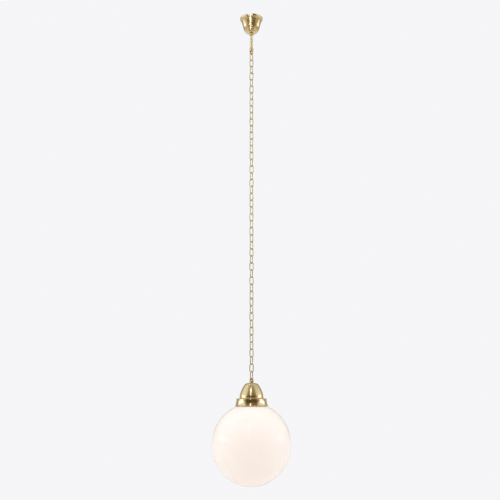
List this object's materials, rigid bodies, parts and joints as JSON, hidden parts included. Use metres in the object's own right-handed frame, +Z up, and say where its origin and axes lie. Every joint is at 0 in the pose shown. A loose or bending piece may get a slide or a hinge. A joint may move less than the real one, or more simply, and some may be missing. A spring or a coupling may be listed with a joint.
{
  "type": "pendant ceiling light",
  "caption": "Globe pendant on a long brass chain, with a fluted bell canopy, a bullet-shaped brass cap, a brass gallery with thumbscrews and an opal glass globe.",
  "frame": {"origin": "on the ceiling, at the middle of the ceiling plate's upper face", "axes": "+Z up into the ceiling, the lamp hangs along -Z; -Y is the front, which the first flute and the first thumbscrew face; +X is to the right seen from the front"},
  "size_m": [0.24, 0.24, 1.5],
  "materials": {
    "polished_brass": "polished and lacquered",
    "chain_brass": "brass plated wire, pale and bright",
    "raw_brass": "turned, unpolished",
    "zinc_steel": "zinc plated",
    "opal_glass": "glossy white opal, blown",
    "bulb_glass": "white inside coating",
    "bulb_cap_metal": "rolled thread",
    "insulator_black": "black vitrite",
    "holder_white": "moulded white thermoplastic",
    "porcelain": "glazed"
  },
  "bodies": {
    "ceiling": {"ceiling_plate": "zinc_steel", "ceiling_hook": "zinc_steel", "hook_lock_nut": "zinc_steel", "terminal_block": "holder_white", "terminal_sleeves": "raw_brass", "terminal_screws": "zinc_steel", "block_fixing_screw": "zinc_steel", "earth_terminal": "zinc_steel", "earth_screw": "zinc_steel"},
    "stem": {"suspension_eye": "zinc_steel", "stem_tube": "chain_brass", "upper_eye": "chain_brass", "stem_set_screws": "zinc_steel"},
    "canopy": {"canopy_shell": "polished_brass", "canopy_bush": "polished_brass", "canopy_ring_nut": "raw_brass"},
    "canopy_grub": {"canopy_grub_screw": "polished_brass"},
    "chain_01": {"chain_segment_01": "chain_brass"},
    "chain_02": {"chain_segment_02": "chain_brass"},
    "chain_03": {"chain_segment_03": "chain_brass"},
    "chain_04": {"chain_segment_04": "chain_brass"},
    "chain_05": {"chain_segment_05": "chain_brass"},
    "chain_06": {"chain_segment_06": "chain_brass"},
    "chain_07": {"chain_segment_07": "chain_brass"},
    "chain_08": {"chain_segment_08": "chain_brass"},
    "chain_09": {"chain_segment_09": "chain_brass"},
    "chain_10": {"chain_segment_10": "chain_brass"},
    "chain_11": {"chain_segment_11": "chain_brass"},
    "chain_12": {"chain_segment_12": "chain_brass"},
    "fitter": {"lower_eye": "chain_brass", "fitter_nipple": "zinc_steel", "dome_cap": "polished_brass", "gallery_ring": "polished_brass", "fitter_washers": "zinc_steel", "fitter_lock_nuts": "zinc_steel", "gallery_inserts": "raw_brass", "lampholder_cap": "holder_white", "lampholder_set_screw": "zinc_steel", "lampholder_skirt": "holder_white", "lampholder_core": "porcelain", "lampholder_screw_shell": "raw_brass", "lampholder_centre_contact": "raw_brass", "lampholder_terminal_screws": "raw_brass"},
    "globe": {"globe_shell": "opal_glass"},
    "screw_1": {"thumbscrew_1": "polished_brass"},
    "screw_2": {"thumbscrew_2": "polished_brass"},
    "screw_3": {"thumbscrew_3": "polished_brass"},
    "bulb": {"bulb_glass": "bulb_glass", "bulb_cap": "bulb_cap_metal", "bulb_insulator": "insulator_black", "bulb_tip_contact": "bulb_cap_metal"}
  },
  "joints": [
    {"name": "hook_swing", "type": "hinge", "parent": "ceiling", "child": "stem", "pos_m": [0, 0, -0.023], "axis": [1, 0, 0], "range_deg": [-3, 3]},
    {"name": "canopy_slide", "type": "slide", "parent": "stem", "child": "canopy", "axis": [0, 0, -1], "range_m": [0, 0.045]},
    {"name": "canopy_grub_turn_out", "type": "slide", "parent": "canopy", "child": "canopy_grub", "axis": [0, 1, 0], "range_m": [0, 0.0025]},
    {"name": "chain_top_swing", "type": "hinge", "parent": "stem", "child": "chain_01", "pos_m": [0, 0, -0.1287], "axis": [-0.7431, 0.6691, 0], "range_deg": [-30, 30]},
    {"name": "chain_bend_01", "type": "hinge", "parent": "chain_01", "child": "chain_02", "pos_m": [0, 0, -0.19535], "axis": [0.5505, 0.8348, 0], "range_deg": [-30, 30]},
    {"name": "chain_bend_02", "type": "hinge", "parent": "chain_02", "child": "chain_03", "pos_m": [0, 0, -0.2821], "axis": [0.7431, -0.6691, 0], "range_deg": [-30, 30]},
    {"name": "chain_bend_03", "type": "hinge", "parent": "chain_03", "child": "chain_04", "pos_m": [0, 0, -0.37495], "axis": [-0.7957, -0.6057, 0], "range_deg": [-30, 30]},
    {"name": "chain_bend_04", "type": "hinge", "parent": "chain_04", "child": "chain_05", "pos_m": [0, 0, -0.4617], "axis": [-0.7962, 0.605, 0], "range_deg": [-30, 30]},
    {"name": "chain_bend_05", "type": "hinge", "parent": "chain_05", "child": "chain_06", "pos_m": [0, 0, -0.55455], "axis": [0.5192, 0.8547, 0], "range_deg": [-30, 30]},
    {"name": "chain_bend_06", "type": "hinge", "parent": "chain_06", "child": "chain_07", "pos_m": [0, 0, -0.6413], "axis": [0.6347, -0.7727, 0], "range_deg": [-30, 30]},
    {"name": "chain_bend_07", "type": "hinge", "parent": "chain_07", "child": "chain_08", "pos_m": [0, 0, -0.73415], "axis": [-0.7727, -0.6347, 0], "range_deg": [-30, 30]},
    {"name": "chain_bend_08", "type": "hinge", "parent": "chain_08", "child": "chain_09", "pos_m": [0, 0, -0.8209], "axis": [-0.8547, 0.5192, 0], "range_deg": [-30, 30]},
    {"name": "chain_bend_09", "type": "hinge", "parent": "chain_09", "child": "chain_10", "pos_m": [0, 0, -0.91375], "axis": [0.605, 0.7962, 0], "range_deg": [-30, 30]},
    {"name": "chain_bend_10", "type": "hinge", "parent": "chain_10", "child": "chain_11", "pos_m": [0, 0, -1.0005], "axis": [0.6057, -0.7957, 0], "range_deg": [-30, 30]},
    {"name": "chain_bend_11", "type": "hinge", "parent": "chain_11", "child": "chain_12", "pos_m": [0, 0, -1.09335], "axis": [-0.6691, -0.7431, 0], "range_deg": [-30, 30]},
    {"name": "fitter_swing", "type": "hinge", "parent": "chain_12", "child": "fitter", "pos_m": [0, 0, -1.1794], "axis": [-0.8547, 0.5192, 0], "range_deg": [-30, 30]},
    {"name": "globe_drop", "type": "slide", "parent": "fitter", "child": "globe", "axis": [0, 0, -1], "range_m": [0, 0.021]},
    {"name": "thumbscrew_1_out", "type": "slide", "parent": "fitter", "child": "screw_1", "axis": [0, -1, 0], "range_m": [0, 0.0064]},
    {"name": "thumbscrew_2_out", "type": "slide", "parent": "fitter", "child": "screw_2", "axis": [0.866, 0.5, 0], "range_m": [0, 0.0064]},
    {"name": "thumbscrew_3_out", "type": "slide", "parent": "fitter", "child": "screw_3", "axis": [-0.866, 0.5, 0], "range_m": [0, 0.0064]},
    {"name": "bulb_out", "type": "slide", "parent": "fitter", "child": "bulb", "axis": [0, 0, -1], "range_m": [0, 0.026]}
  ],
  "couplings": [
    {"joint": "thumbscrew_1_out", "follows": "globe_drop", "ratio": 0.3},
    {"joint": "thumbscrew_2_out", "follows": "globe_drop", "ratio": 0.3},
    {"joint": "thumbscrew_3_out", "follows": "globe_drop", "ratio": 0.3}
  ]
}
